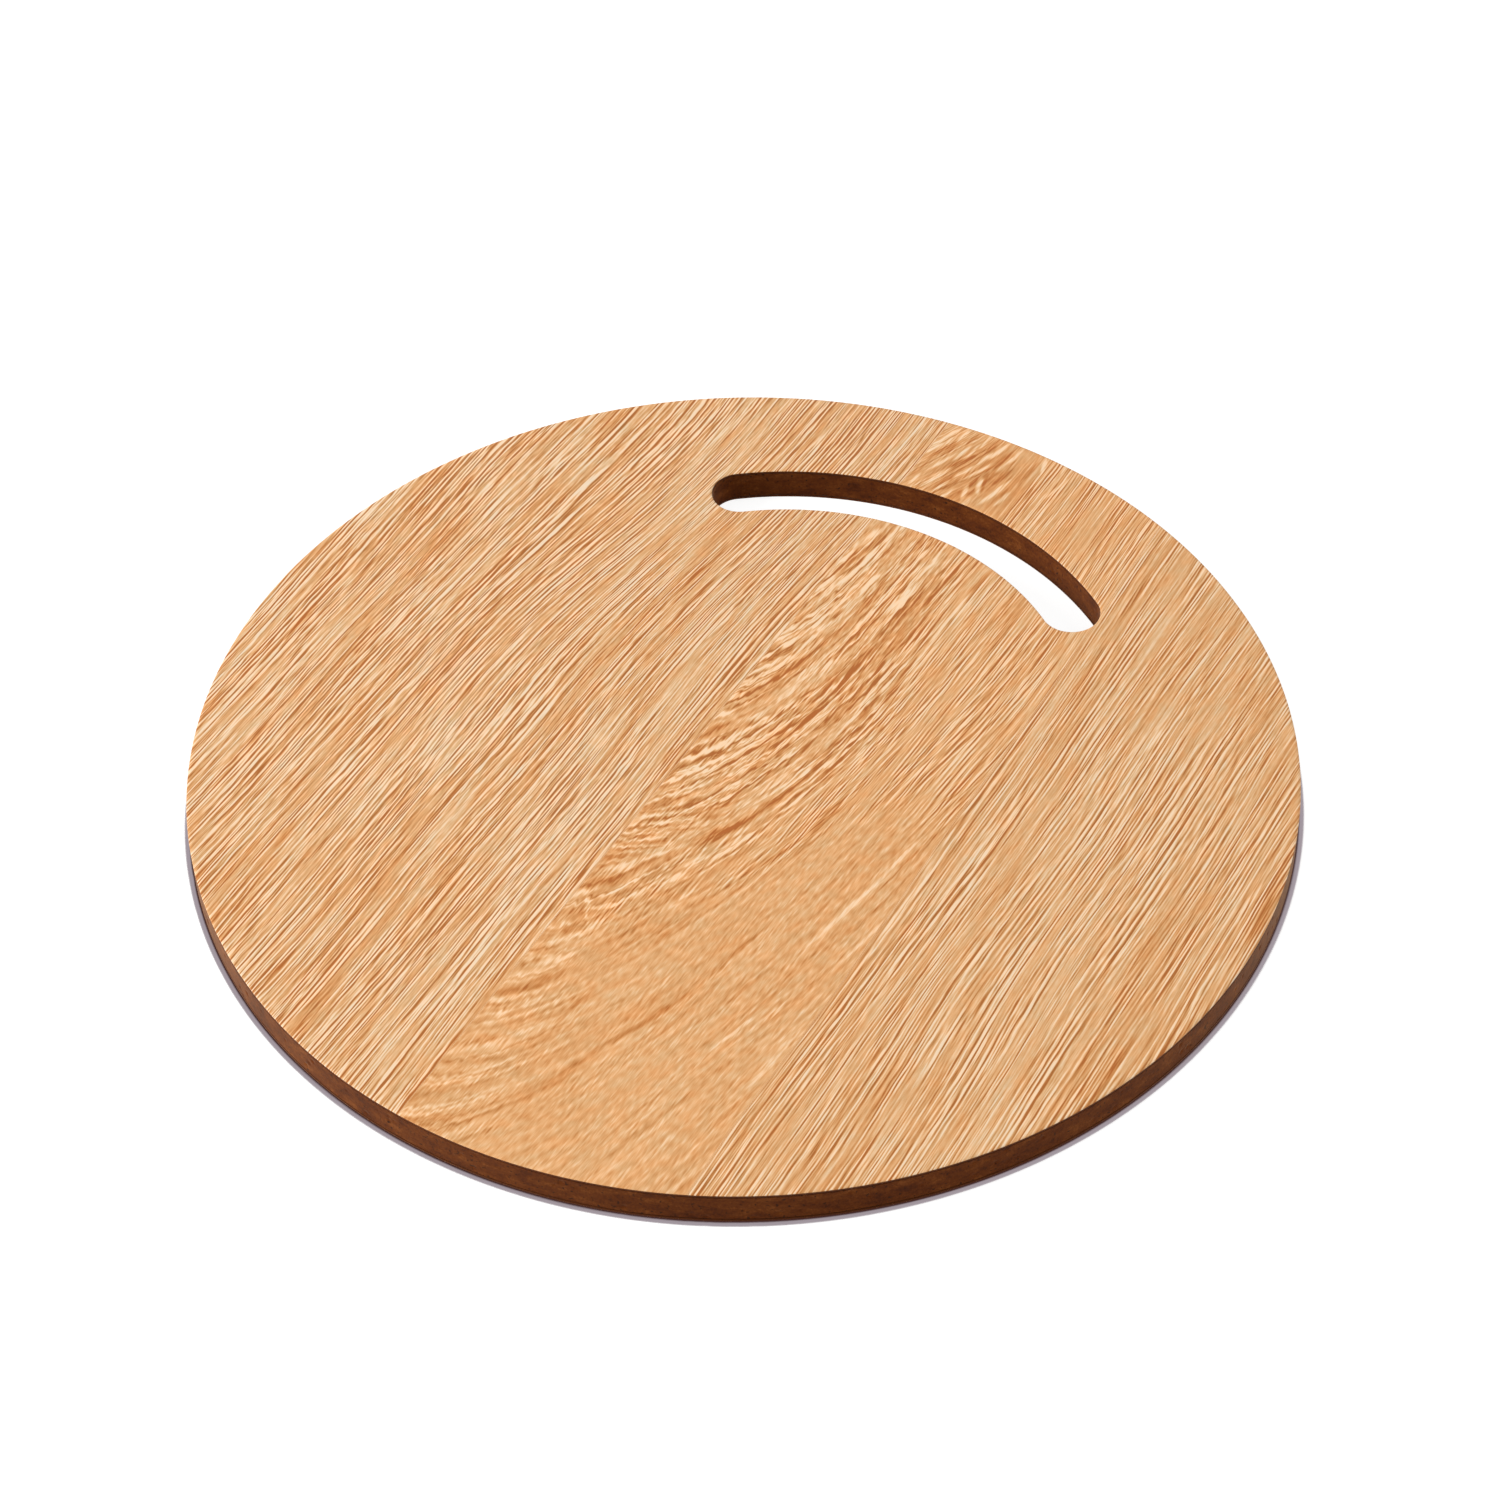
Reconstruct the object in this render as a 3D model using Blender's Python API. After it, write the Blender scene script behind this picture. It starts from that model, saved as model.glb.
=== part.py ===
"""Round woodgrain cutting board with a curved hand slot.

A dark fibreboard core is pressed between two decor laminate sheets, and the round rim and the slot are
then cut through all three. Metres, +Z up. The origin is the middle of the face that the board lies on,
and the slot lies towards +Y.
"""

import math

import bmesh
import bpy

# Sheets, from the underside up: laminate, glue line, core, glue line, laminate
BOARD_DIAMETER = 0.300
CORE_THICKNESS = 0.0080
LAMINATE_THICKNESS = 0.0007
GLUE_LINE = 0.0003
EDGE_BREAK = 0.0002

# Hand slot: an arc-shaped hole with round ends, centred on the +Y side
SLOT_BORDER = 0.0308
SLOT_WIDTH = 0.0166
SLOT_ARC_RADIUS = 0.0884
SLOT_SWEEP = math.radians(74)

# Facets
RIM_STEPS = 180
SLOT_SIDE_STEPS = 36
SLOT_END_STEPS = 12
SHARP_ANGLE = math.radians(30)

# Finishes
WOODGRAIN_DECOR = (0.76, 0.44, 0.22, 1.0)
RAW_FIBREBOARD = (0.085, 0.026, 0.007, 1.0)
DECOR_ROUGHNESS = 0.45
FIBREBOARD_ROUGHNESS = 0.85

rim_radius = BOARD_DIAMETER / 2
slot_centre_y = rim_radius - SLOT_BORDER - SLOT_WIDTH / 2 - SLOT_ARC_RADIUS

underside = 0.0
core_low = underside + LAMINATE_THICKNESS + GLUE_LINE
core_high = core_low + CORE_THICKNESS
top_glue_side = core_high + GLUE_LINE
work_face = top_glue_side + LAMINATE_THICKNESS


def clear_scene():
    for item in list(bpy.data.objects):
        bpy.data.objects.remove(item, do_unlink=True)


def finish(name, colour, roughness):
    material = bpy.data.materials.new(name)
    material.use_nodes = True
    shader = material.node_tree.nodes["Principled BSDF"]
    shader.inputs["Base Color"].default_value = colour
    shader.inputs["Roughness"].default_value = roughness
    shader.inputs["Metallic"].default_value = 0.0
    return material


def arc(centre, radius, start, end, steps):
    """Points from start towards end round a centre. The end point belongs to the next stretch."""
    points = []
    for step in range(steps):
        angle = start + (end - start) * step / steps
        points.append((centre[0] + radius * math.cos(angle), centre[1] + radius * math.sin(angle)))
    return points


def rim_outline(inset):
    """The board's round rim, drawn in by the inset."""
    return arc((0.0, 0.0), rim_radius - inset, 0.0, math.tau, RIM_STEPS)


def slot_outline(inset):
    """The hand slot's rim, opened out by the inset: outer side, left end, inner side, right end."""
    right = math.pi / 2 - SLOT_SWEEP / 2
    left = math.pi / 2 + SLOT_SWEEP / 2
    half_width = SLOT_WIDTH / 2 + inset
    arc_centre = (0.0, slot_centre_y)
    left_end = (
        SLOT_ARC_RADIUS * math.cos(left),
        slot_centre_y + SLOT_ARC_RADIUS * math.sin(left),
    )
    right_end = (-left_end[0], left_end[1])
    return (
        arc(arc_centre, SLOT_ARC_RADIUS + half_width, right, left, SLOT_SIDE_STEPS)
        + arc(left_end, half_width, left, left + math.pi, SLOT_END_STEPS)
        + arc(arc_centre, SLOT_ARC_RADIUS - half_width, left, right, SLOT_SIDE_STEPS)
        + arc(right_end, half_width, right - math.pi, right, SLOT_END_STEPS)
    )


def closed_loop(mesh, outline, height):
    """The edges of one closed outline at a height."""
    verts = [mesh.verts.new((x, y, height)) for x, y in outline]
    return [mesh.edges.new(pair) for pair in zip(verts, verts[1:] + verts[:1])]


def cut_wall(mesh, outline_at, profile):
    """The cut edge of a sheet: an outline at each (inset, height) of the profile, joined by faces."""
    loops = [closed_loop(mesh, outline_at(inset), height) for inset, height in profile]
    for lower, upper in zip(loops, loops[1:]):
        bmesh.ops.bridge_loops(mesh, edges=lower + upper)
    return loops[0], loops[-1]


def sheet(name, profile, material):
    """One flat sheet with the round rim and the hand slot, its cut edges following the profile."""
    mesh = bmesh.new()
    rim_first, rim_last = cut_wall(mesh, rim_outline, profile)
    slot_first, slot_last = cut_wall(mesh, slot_outline, profile)
    bmesh.ops.triangle_fill(mesh, use_beauty=True, edges=rim_first + slot_first)
    bmesh.ops.triangle_fill(mesh, use_beauty=True, edges=rim_last + slot_last)
    bmesh.ops.recalc_face_normals(mesh, faces=mesh.faces)

    data = bpy.data.meshes.new(name)
    mesh.to_mesh(data)
    mesh.free()
    data.shade_smooth()
    data.set_sharp_from_angle(angle=SHARP_ANGLE)
    data.materials.append(material)
    board_piece = bpy.data.objects.new(name, data)
    bpy.context.collection.objects.link(board_piece)
    return board_piece


def laminate(name, glue_side, face, material):
    """A decor sheet from its glue side to its face, where the cut corner is broken by a small bevel."""
    outwards = math.copysign(1.0, face - glue_side)
    profile = [(0.0, glue_side), (0.0, face - outwards * EDGE_BREAK), (EDGE_BREAK, face)]
    return sheet(name, profile, material)


clear_scene()
decor = finish("woodgrain_decor", WOODGRAIN_DECOR, DECOR_ROUGHNESS)
fibreboard = finish("raw_fibreboard", RAW_FIBREBOARD, FIBREBOARD_ROUGHNESS)

sheet("core_board", [(0.0, core_low), (0.0, core_high)], fibreboard)
laminate("bottom_laminate", core_low - GLUE_LINE, underside, decor)
laminate("top_laminate", top_glue_side, work_face, decor)
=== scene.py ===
import itertools
import math
import random

import bmesh
import bpy
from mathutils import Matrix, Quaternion, Vector, noise


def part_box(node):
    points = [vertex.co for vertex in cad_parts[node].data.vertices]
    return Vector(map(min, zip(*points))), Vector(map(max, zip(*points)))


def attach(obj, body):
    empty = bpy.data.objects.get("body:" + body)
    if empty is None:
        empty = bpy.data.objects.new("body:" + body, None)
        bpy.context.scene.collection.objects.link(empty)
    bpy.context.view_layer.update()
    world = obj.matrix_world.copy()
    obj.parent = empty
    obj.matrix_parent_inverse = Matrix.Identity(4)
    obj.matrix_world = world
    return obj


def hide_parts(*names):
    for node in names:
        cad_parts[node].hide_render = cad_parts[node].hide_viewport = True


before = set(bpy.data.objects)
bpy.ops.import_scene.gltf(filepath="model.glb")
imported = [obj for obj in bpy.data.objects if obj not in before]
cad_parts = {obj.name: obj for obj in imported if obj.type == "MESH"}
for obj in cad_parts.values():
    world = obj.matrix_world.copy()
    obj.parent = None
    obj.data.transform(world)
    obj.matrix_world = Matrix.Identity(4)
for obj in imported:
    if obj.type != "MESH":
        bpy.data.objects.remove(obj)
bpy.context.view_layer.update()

MM = 0.001

# The view of the photograph: the board lies flat and is seen from its lower right, half way up the sky,
# through a long lens. The camera stands a metre off and is turned a little out of level.
view_azimuth = math.radians(30.51)
view_elevation = math.radians(45.46)
view_distance = 1.02494
lens_mm = 90.93
turn_left = -0.00198
tip_up = 0.00141
roll_right = 0.02717

work_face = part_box("top_laminate")[1][2]
towards_camera = Vector((
    math.sin(view_azimuth) * math.cos(view_elevation),
    -math.cos(view_azimuth) * math.cos(view_elevation),
    math.sin(view_elevation),
))
camera_data = bpy.data.cameras.new("photo_camera")
camera_data.lens = lens_mm
camera_data.sensor_width = 36.0
camera = bpy.data.objects.new("photo_camera", camera_data)
camera.location = Vector((0.0, 0.0, work_face)) + towards_camera * view_distance
camera.rotation_mode = "QUATERNION"
camera.rotation_quaternion = (
    (-towards_camera).to_track_quat("-Z", "Y")
    @ Quaternion((0.0, 1.0, 0.0), turn_left)
    @ Quaternion((1.0, 0.0, 0.0), tip_up)
    @ Quaternion((0.0, 0.0, 1.0), -roll_right)
)
bpy.context.collection.objects.link(camera)
bpy.context.scene.camera = camera
bpy.context.scene.view_settings.view_transform = "Standard"

# The studio: a sweep of matt white paper under the board, an even white surround, and two wide soft lamps low
# on either side, the left one stronger. The paper shows as plain white, with a faint shadow of the board on
# it and a painted shadow along its rim.


def colour(code):
    """A colour written as sRGB hex, turned to the linear values that a shader takes."""
    steps = [int(code[at:at + 2], 16) / 255 for at in (0, 2, 4)]
    return [step / 12.92 if step <= 0.04045 else ((step + 0.055) / 1.055) ** 2.4 for step in steps] + [1.0]


def node(tree, kind, feeds=None, out=None, **settings):
    """Adds one node with its settings. Each feed is a value, or the output of another node to link."""
    made = tree.nodes.new("ShaderNode" + kind)
    for name, value in settings.items():
        setattr(made, name, value)
    for socket, feed in (feeds or {}).items():
        if isinstance(feed, bpy.types.NodeSocket):
            tree.links.new(feed, made.inputs[socket])
        else:
            made.inputs[socket].default_value = feed
    if out is None:
        return next((socket for socket in made.outputs if socket.enabled), None)
    return made.outputs[out]


def empty_material(name):
    made = bpy.data.materials.new(name)
    made.use_nodes = True
    made.node_tree.nodes.clear()
    return made


def backdrop_seen(tree):
    """1 on the rays that show the backdrop itself: seen directly, mirrored, or through something clear."""
    shown = node(tree, "LightPath", out="Is Camera Ray")
    mirrored = node(tree, "LightPath", out="Is Glossy Ray")
    through = node(tree, "LightPath", out="Is Transmission Ray")
    shown = node(tree, "Math", {0: shown, 1: mirrored}, operation="MAXIMUM")
    return node(tree, "Math", {0: shown, 1: through}, operation="MAXIMUM")


surround_strength = 0.56
surround = bpy.data.worlds.new("studio_surround")
surround.use_nodes = True
surround.node_tree.nodes.clear()
seen = backdrop_seen(surround.node_tree)
lit = node(surround.node_tree, "Background", {"Color": colour("FFFFFF"), "Strength": surround_strength})
white = node(surround.node_tree, "Background", {"Color": colour("FFFFFF"), "Strength": 1.0})
either = node(surround.node_tree, "MixShader", {0: seen, 1: lit, 2: white})
node(surround.node_tree, "OutputWorld", {"Surface": either})
bpy.context.scene.world = surround

lamp_distance = 2.5
lamp_width = 1.4
lamp_elevation = math.radians(25)
lamp_watts = {"soft_lamp_left": (-1, 56.0), "soft_lamp_right": (1, 11.0)}
across_view = Vector((math.cos(view_azimuth), math.sin(view_azimuth), 0.0))
for name, (side, power) in lamp_watts.items():
    lamp_data = bpy.data.lights.new(name, "AREA")
    lamp_data.shape = "DISK"
    lamp_data.size = lamp_width
    lamp_data.energy = power
    lamp = bpy.data.objects.new(name, lamp_data)
    lamp.location = lamp_distance * (
        side * math.cos(lamp_elevation) * across_view + Vector((0.0, 0.0, math.sin(lamp_elevation)))
    )
    lamp.rotation_mode = "QUATERNION"
    lamp.rotation_quaternion = (-lamp.location).to_track_quat("-Z", "Y")
    bpy.context.collection.objects.link(lamp)

# Matt white paper. Its own shading stays faint, and a hair of painted grey shadow, dark brown at its foot,
# lies right against the board's rim.
contact_reach = 2.2 * MM
inside_rim = 0.135
paper = empty_material("matt_paper_sweep")
tree = paper.node_tree
plain_paper = node(tree, "BsdfDiffuse", {"Color": colour("CFCECF")})
faint_shading = node(tree, "BsdfDiffuse", {"Color": colour("AAABAA")})
white_part = node(tree, "Emission", {"Color": colour("FFFFFF"), "Strength": 0.83})
shown_paper = node(tree, "AddShader", {0: faint_shading, 1: white_part})
# painted shadow: where ambient occlusion finds the board's rim close by, the paper emits grey, and dark brown
# right under the rim, in place of being shaded
openness = node(tree, "AmbientOcclusion", {"Distance": contact_reach}, out="AO", samples=32)
contact = node(tree, "MapRange", {"Value": openness, "From Min": 0.97, "From Max": 0.90})
place = node(tree, "NewGeometry", out="Position")
from_middle = node(tree, "VectorMath", {0: place}, out="Value", operation="LENGTH")
outside = node(tree, "Math", {0: from_middle, 1: inside_rim}, operation="GREATER_THAN")
contact = node(tree, "Math", {0: contact, 1: outside}, operation="MULTIPLY")
under_rim = node(tree, "MapRange", {"Value": openness, "From Min": 0.68, "From Max": 0.58})
painted_shadow_colour = node(tree, "Mix", {0: under_rim, 6: colour("A2979E"), 7: colour("442824")}, data_type="RGBA")
painted_contact_shadow = node(tree, "Emission", {"Color": painted_shadow_colour, "Strength": 1.0})
shown_paper = node(tree, "MixShader", {0: contact, 1: shown_paper, 2: painted_contact_shadow})
sweep_surface = node(tree, "MixShader", {0: backdrop_seen(tree), 1: plain_paper, 2: shown_paper})
node(tree, "OutputMaterial", {"Surface": sweep_surface})

sweep_reach = 4.0
sweep_panels = 8
sweep_mesh = bmesh.new()
bmesh.ops.create_grid(sweep_mesh, x_segments=sweep_panels, y_segments=sweep_panels, size=sweep_reach)
sweep_data = bpy.data.meshes.new("paper_sweep")
sweep_mesh.to_mesh(sweep_data)
sweep_mesh.free()
sweep_data.materials.append(paper)
sweep = bpy.data.objects.new("paper_sweep", sweep_data)
bpy.context.collection.objects.link(sweep)

# The core: 8 mm of dark brown wood fibre pressed with resin. The round rim and the hand slot are routed
# through the whole panel in one go, which leaves its raw edge with cutter ripple, pits and small torn spots.
rim_radius = (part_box("core_board")[1][0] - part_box("core_board")[0][0]) / 2
core_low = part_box("core_board")[0][2]
core_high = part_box("core_board")[1][2]
slot_border = 30.8 * MM
slot_width = 16.6 * MM
slot_arc_radius = 88.4 * MM
slot_sweep = math.radians(74)
slot_centre = Vector((0.0, rim_radius - slot_border - slot_width / 2 - slot_arc_radius))
facet = 0.42 * MM
fewest_facets = 8
crease = math.radians(50)


def arc_cut(centre, radius, start, end, waste):
    """Places along an arc that the router follows, each with the way into the board."""
    steps = max(fewest_facets, round(abs(end - start) * radius / facet))
    cut = []
    for step in range(steps):
        angle = start + (end - start) * step / steps
        out = Vector((math.cos(angle), math.sin(angle)))
        cut.append((centre + out * radius, out * waste))
    return cut


rim_cut = arc_cut(Vector((0.0, 0.0)), rim_radius, 0.0, math.tau, -1)

slot_right = math.pi / 2 - slot_sweep / 2
slot_left = math.pi / 2 + slot_sweep / 2
half_slot = slot_width / 2
left_end = slot_centre + slot_arc_radius * Vector((math.cos(slot_left), math.sin(slot_left)))
right_end = Vector((-left_end.x, left_end.y))
slot_cut = (
    arc_cut(slot_centre, slot_arc_radius + half_slot, slot_right, slot_left, 1)
    + arc_cut(left_end, half_slot, slot_left, slot_left + math.pi, 1)
    + arc_cut(slot_centre, slot_arc_radius - half_slot, slot_left, slot_right, -1)
    + arc_cut(right_end, half_slot, slot_right - math.pi, slot_right, 1)
)


def cut_wall(mesh, cut, rows, wear, material_index=0):
    """The routed wall along a cut: a ring of points at each (inset, height), worn back by wear(place)."""
    rings = []
    for inset, height in rows:
        ring = []
        for place, inwards in cut:
            worn = inset + wear(Vector((place.x, place.y, height)))
            at = place + inwards * worn
            ring.append(mesh.verts.new((at.x, at.y, height)))
        rings.append(ring)
    for lower, upper in zip(rings, rings[1:]):
        for at in range(len(lower)):
            after = (at + 1) % len(lower)
            wall = mesh.faces.new((lower[at], lower[after], upper[after], upper[at]))
            wall.material_index = material_index
            wall.smooth = True
    return rings[0], rings[-1]


def loop_edges(mesh, ring):
    """The edges of one closed ring of points."""
    return [mesh.edges.get(pair) or mesh.edges.new(pair) for pair in zip(ring, ring[1:] + ring[:1])]


def flat_face(mesh, rim_ring, slot_ring, material_index=0):
    """The flat side of a sheet, between its rim and its slot."""
    edges = loop_edges(mesh, rim_ring) + loop_edges(mesh, slot_ring)
    made = bmesh.ops.triangle_fill(mesh, use_beauty=True, edges=edges)
    for face in made["geom"]:
        if isinstance(face, bmesh.types.BMFace):
            face.material_index = material_index
            face.smooth = True


def board_piece(name, mesh, materials):
    """Turns finished mesh work into a piece that rides on the board."""
    bmesh.ops.recalc_face_normals(mesh, faces=mesh.faces)
    data = bpy.data.meshes.new(name)
    mesh.to_mesh(data)
    mesh.free()
    data.set_sharp_from_angle(angle=crease)
    for material in materials:
        data.materials.append(material)
    piece = bpy.data.objects.new(name, data)
    bpy.context.collection.objects.link(piece)
    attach(piece, "root")
    return piece


# Torn pits, where the cutter pulled out a knot of fibre: how many, how wide and how deep.
torn_spots = random.Random(41)
rim_pits = 170
slot_pits = 40
pit_low = core_low + 0.4 * MM
pit_high = core_high - 0.4 * MM
pits = []
for _ in range(rim_pits):
    bearing = torn_spots.uniform(0.0, math.tau)
    height = torn_spots.uniform(pit_low, pit_high)
    pits.append((
        Vector((rim_radius * math.cos(bearing), rim_radius * math.sin(bearing), height)),
        torn_spots.uniform(0.45, 1.3) * MM,
        torn_spots.uniform(0.05, 0.28) * MM,
    ))
for _ in range(slot_pits):
    place = torn_spots.choice(slot_cut)[0]
    height = torn_spots.uniform(pit_low, pit_high)
    pits.append((
        Vector((place.x, place.y, height)),
        torn_spots.uniform(0.45, 1.2) * MM,
        torn_spots.uniform(0.05, 0.25) * MM,
    ))

# The pits are filed by the small cube that they lie in, so that each point of the wall looks only at those
# that are near.
pit_cell = 3.0 * MM
cells_around = list(itertools.product((-1, 0, 1), repeat=3))
pits_near = {}
for centre, reach, depth in pits:
    cell = [math.floor(c / pit_cell) for c in centre]
    for offset in cells_around:
        near_cell = tuple(c + step for c, step in zip(cell, offset))
        pits_near.setdefault(near_cell, []).append((centre, reach, depth))


def core_wear(place):
    """How far the routed fibre edge is worn back at a place: soft unevenness and torn pits."""
    worn = 0.0
    for width, depth in ((2.2, 0.03), (0.8, 0.02)):
        worn += depth * MM * max(0.0, noise.noise(place / (width * MM)))
    for centre, reach, depth in pits_near.get(tuple(math.floor(c / pit_cell) for c in place), ()):
        near = (place - centre).length / reach
        if near < 1.0:
            worn = max(worn, depth * (1.0 - near * near) ** 2)
    return worn


# Raw fibreboard: ground wood fibre, resin and dye, milled with a router. It gives the eye a dull dark brown,
# mottled where the fibre took the dye unevenly, with dark specks, and a soft haze where it turns away.
raw_fibreboard = empty_material("raw_fibreboard_routed")
tree = raw_fibreboard.node_tree
place = node(tree, "TexCoord", out="Object")
place_mm = node(tree, "VectorMath", {0: place, 1: (1000.0, 1000.0, 1000.0)}, operation="MULTIPLY")
mottle_place = node(tree, "VectorMath", {0: place_mm, 1: (1 / 6.0, 1 / 6.0, 1 / 3.0)}, operation="MULTIPLY")
mottle = node(tree, "TexNoise", {"Vector": mottle_place, "Scale": 1.0, "Detail": 4.0, "Roughness": 0.62})
fibre = node(tree, "TexNoise", {"Vector": place_mm, "Scale": 1 / 0.7, "Detail": 2.0, "Roughness": 0.6})
blend = node(tree, "Math", {0: fibre, 1: 0.45, 2: -0.225}, operation="MULTIPLY_ADD")
fibre_tone = node(tree, "Math", {0: mottle, 1: blend}, operation="ADD")
fibre_colour = node(tree, "ValToRGB", {"Fac": fibre_tone})
ramp = fibre_colour.node.color_ramp
fibre_stops = ((0.30, "4C1F04"), (0.45, "612C06"), (0.58, "6C350B"), (0.72, "814619"))
for number, (stop, code) in enumerate(fibre_stops):
    entry = ramp.elements[number] if number < 2 else ramp.elements.new(stop)
    entry.position = stop
    entry.color = colour(code)
speck = node(tree, "TexNoise", {"Vector": place_mm, "Scale": 1 / 0.9, "Detail": 0.0})
speck_mask = node(tree, "MapRange", {"Value": speck, "From Min": 0.70, "From Max": 0.80})
speckled = node(tree, "Mix", {0: speck_mask, 6: fibre_colour, 7: colour("3A1804")}, data_type="RGBA")
nap = node(tree, "Bump", {"Height": fibre, "Strength": 0.5, "Distance": 0.08 * MM})
edge_surface = node(tree, "BsdfPrincipled", {
    "Base Color": speckled,
    "Roughness": 0.8,
    "IOR": 1.45,
    "Specular IOR Level": 0.12,
    "Sheen Weight": 0.62,
    "Sheen Roughness": 0.3,
    "Sheen Tint": colour("FFD9B4"),
    "Normal": nap,
})
node(tree, "OutputMaterial", {"Surface": edge_surface})

core_rows = 20
core_mesh = bmesh.new()
core_profile = [(0.0, core_low + (core_high - core_low) * row / core_rows) for row in range(core_rows + 1)]
rim_first, rim_last = cut_wall(core_mesh, rim_cut, core_profile, core_wear)
slot_first, slot_last = cut_wall(core_mesh, slot_cut, core_profile, core_wear)
flat_face(core_mesh, rim_first, slot_first)
flat_face(core_mesh, rim_last, slot_last)
core = board_piece("fibreboard_core", core_mesh, [raw_fibreboard])
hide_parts("core_board")

# The glue lines: two films of cured resin, a third of a millimetre thick, that hold the laminates to the
# core. They are brown and a little glassy, and the router leaves them just short of the sheets they join.
glue_recess = 0.12 * MM
glue = empty_material("cured_resin_glue")
tree = glue.node_tree
place = node(tree, "TexCoord", out="Object")
streaks = node(tree, "TexNoise", {"Vector": place, "Scale": 600.0, "Detail": 2.0})
glue_tone = node(tree, "Mix", {0: streaks, 6: colour("2C160A"), 7: colour("4A2711")}, data_type="RGBA")
glue_bump = node(tree, "Bump", {"Height": streaks, "Strength": 0.3, "Distance": 0.03 * MM})
glue_surface = node(tree, "BsdfPrincipled", {
    "Base Color": glue_tone,
    "Roughness": 0.42,
    "IOR": 1.54,
    "Normal": glue_bump,
})
node(tree, "OutputMaterial", {"Surface": glue_surface})


def no_wear(place):
    """The edge of the resin papers stays as it was cut."""
    return 0.0


def film_wear(place):
    """The film's edge is uneven: it was squeezed out and then cut."""
    return 0.05 * MM * (1.0 + noise.noise(place / (1.5 * MM)))


film_bounds = {
    "glue_film_bottom": (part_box("bottom_laminate")[1][2], core_low),
    "glue_film_top": (core_high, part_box("top_laminate")[0][2]),
}
for name, (low, high) in film_bounds.items():
    film = bmesh.new()
    film_profile = [(glue_recess, low), (glue_recess, high)]
    rim_first, rim_last = cut_wall(film, rim_cut, film_profile, film_wear)
    slot_first, slot_last = cut_wall(film, slot_cut, film_profile, film_wear)
    flat_face(film, rim_first, slot_first)
    flat_face(film, rim_last, slot_last)
    board_piece(name, film, [glue])

# The decor laminates: sheets of 0.7 mm, pressed from brown resin papers under a sheet of printed oak grain
# and a clear overlay. One makes the working face and one the underside, so that the board stays flat.
edge_break = 0.14 * MM
# the flat face begins this far in from the cut, past the worn arris
face_margin = 0.9 * MM

# Resin paper edge: the cut edge of the brown papers. It gives the eye the core's own dark brown, a little
# denser and smoother, with hairline layers.
resin_papers = empty_material("resin_papers_cut_edge")
tree = resin_papers.node_tree
place = node(tree, "TexCoord", out="Object")
place_mm = node(tree, "VectorMath", {0: place, 1: (1000.0, 1000.0, 1000.0)}, operation="MULTIPLY")
layer_place = node(tree, "VectorMath", {0: place_mm, 1: (0.4, 0.4, 7.0)}, operation="MULTIPLY")
layer_lines = node(tree, "TexNoise", {"Vector": layer_place, "Scale": 1.0, "Detail": 2.0})
layer_colour = node(tree, "Mix", {0: layer_lines, 6: colour("4C2004"), 7: colour("69330A")}, data_type="RGBA")
layer_bump = node(tree, "Bump", {"Height": layer_lines, "Strength": 0.4, "Distance": 0.03 * MM})
papers_surface = node(tree, "BsdfPrincipled", {
    "Base Color": layer_colour,
    "Roughness": 0.6,
    "IOR": 1.5,
    "Specular IOR Level": 0.12,
    "Sheen Weight": 0.62,
    "Sheen Roughness": 0.3,
    "Sheen Tint": colour("FFD9B4"),
    "Normal": layer_bump,
})
node(tree, "OutputMaterial", {"Surface": papers_surface})

# How far the plain noise texture strays from its middle, as a standard deviation. A layer of streaks is
# divided by it, so that its strength is in the same units as that of a drawn streak.
NOISE_SPREAD = 0.135

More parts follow.
